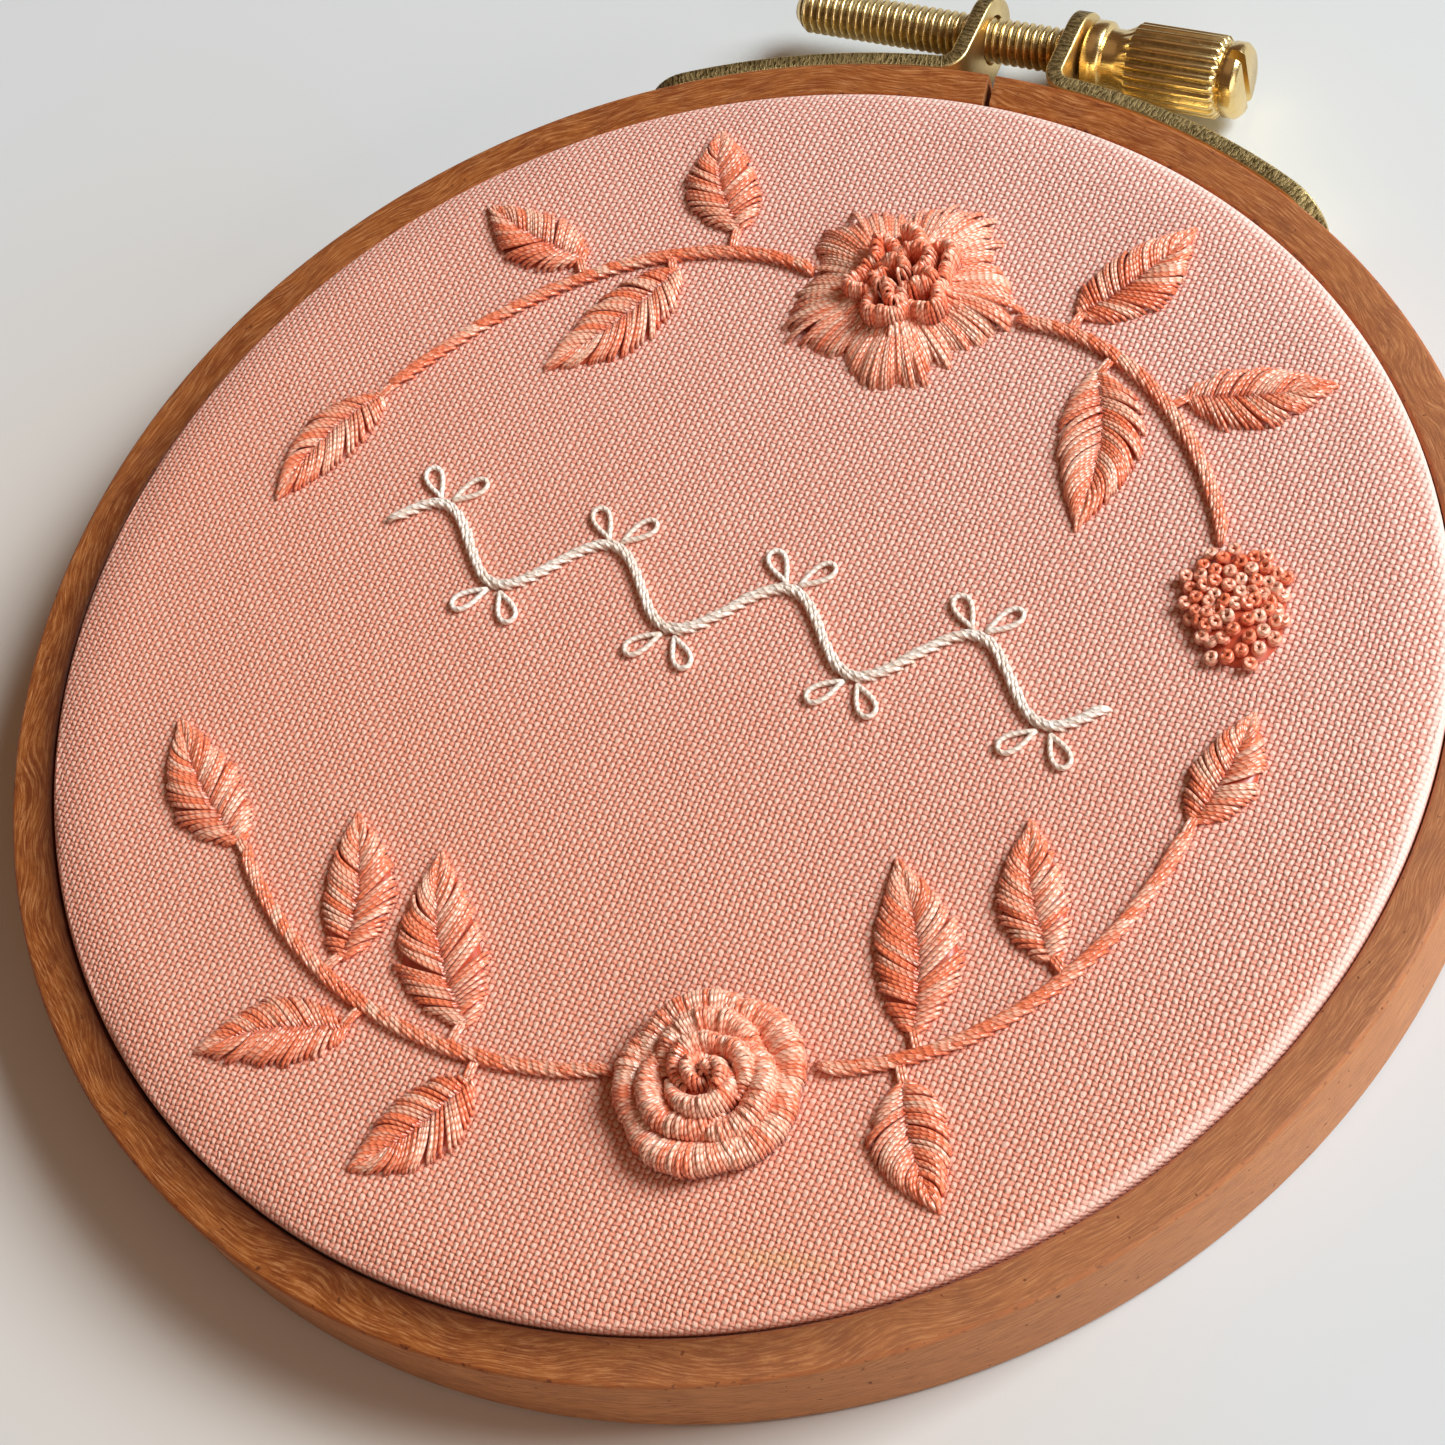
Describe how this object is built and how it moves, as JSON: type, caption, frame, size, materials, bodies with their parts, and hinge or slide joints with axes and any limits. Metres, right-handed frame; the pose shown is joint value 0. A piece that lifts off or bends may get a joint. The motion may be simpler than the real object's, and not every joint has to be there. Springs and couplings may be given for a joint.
{
  "type": "hoop embroidery in a round wooden screw hoop",
  "caption": "Stretched plain-weave cotton in a two-ring wooden hoop with brass screw, raised leaf and flower stitching in one colour.",
  "frame": {"origin": "middle of the whole object's box at its base, on the plane that the outer ring's back rests on; the hoop's own centre is 5 mm behind it, along -Y", "axes": "+Z out of the cloth's face, +Y from the hoop's centre to the screw and the split, +X along the screw from its tip to its head"},
  "size_m": [0.113, 0.123, 0.0133],
  "materials": {
    "stained_beech": "red-brown stained, satin, slightly mottled",
    "salmon_cotton": "matt plain weave",
    "salmon_floss": "stranded cotton with a soft sheen",
    "ivory_floss": "stranded cotton with a soft sheen",
    "brass": "polished, with duller sheared edges"
  },
  "bodies": {
    "hoop": {"outer_ring": "stained_beech", "inner_ring": "stained_beech", "cloth": "salmon_cotton", "bracket_left": "brass", "bracket_right": "brass", "stem_upper_left": "salmon_floss", "stem_upper_right": "salmon_floss", "stem_lower_left": "salmon_floss", "stem_lower_right": "salmon_floss", "leaf_upper_1": "salmon_floss", "leaf_upper_2": "salmon_floss", "leaf_upper_3": "salmon_floss", "leaf_upper_4": "salmon_floss", "leaf_upper_5": "salmon_floss", "leaf_upper_6": "salmon_floss", "leaf_upper_7": "salmon_floss", "leaf_lower_1": "salmon_floss", "leaf_lower_2": "salmon_floss", "leaf_lower_3": "salmon_floss", "leaf_lower_4": "salmon_floss", "leaf_lower_5": "salmon_floss", "leaf_lower_6": "salmon_floss", "leaf_lower_7": "salmon_floss", "leaf_lower_8": "salmon_floss", "leaf_lower_9": "salmon_floss", "bloom": "salmon_floss", "rose": "salmon_floss", "knots": "salmon_floss", "scroll": "ivory_floss"},
    "screw": {"screw": "brass"}
  },
  "joints": [
    {"name": "screw_turn", "type": "hinge", "parent": "hoop", "child": "screw", "pos_m": [0, 0.058, 0.004], "axis": [1, 0, 0], "continuous": true}
  ]
}
